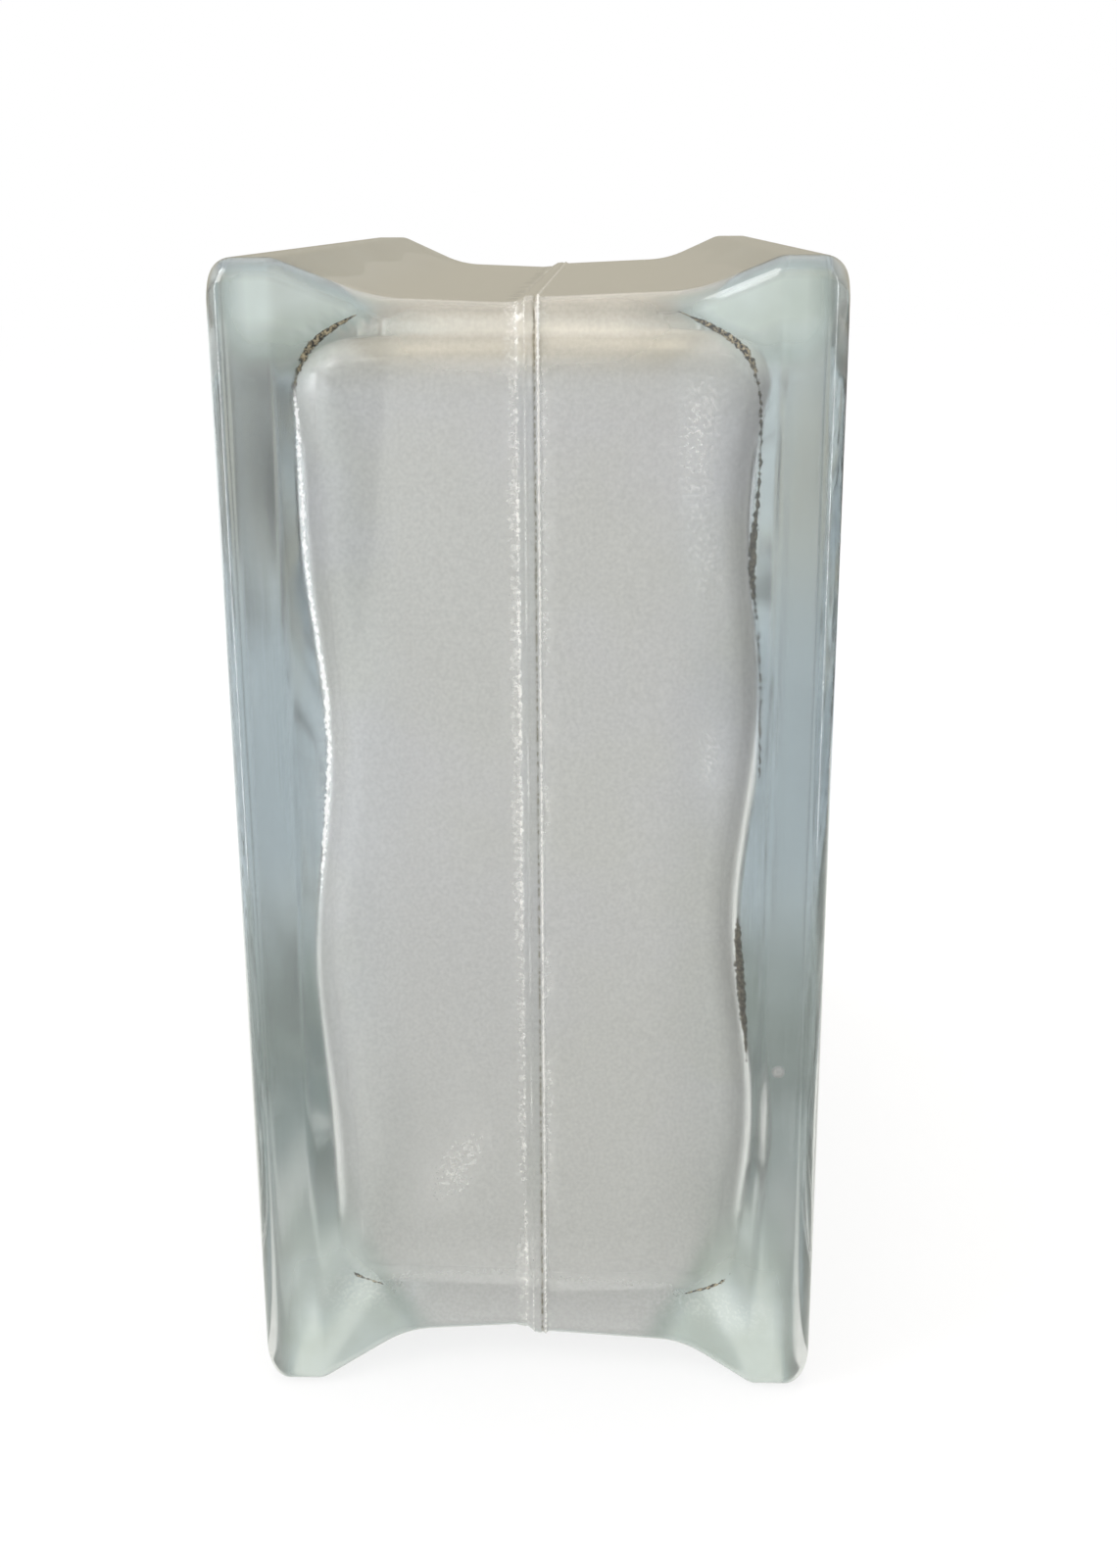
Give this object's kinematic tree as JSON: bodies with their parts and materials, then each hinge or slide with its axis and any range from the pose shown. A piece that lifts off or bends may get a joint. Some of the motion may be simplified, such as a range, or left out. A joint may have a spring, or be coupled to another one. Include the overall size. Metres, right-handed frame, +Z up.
{
  "type": "glass block",
  "caption": "Square hollow glass block with wave-pressed inner faces, a fused middle seam and a shallow mortar channel around its edges.",
  "frame": {"origin": "middle of the edge that the block stands on, at floor level", "axes": "+X across the thickness from face to face, +Y along the edge, +Z up"},
  "size_m": [0.0984, 0.197, 0.197],
  "materials": {
    "glass": "polished"
  },
  "bodies": {
    "root": {"glass_block": "glass"}
  },
  "joints": []
}
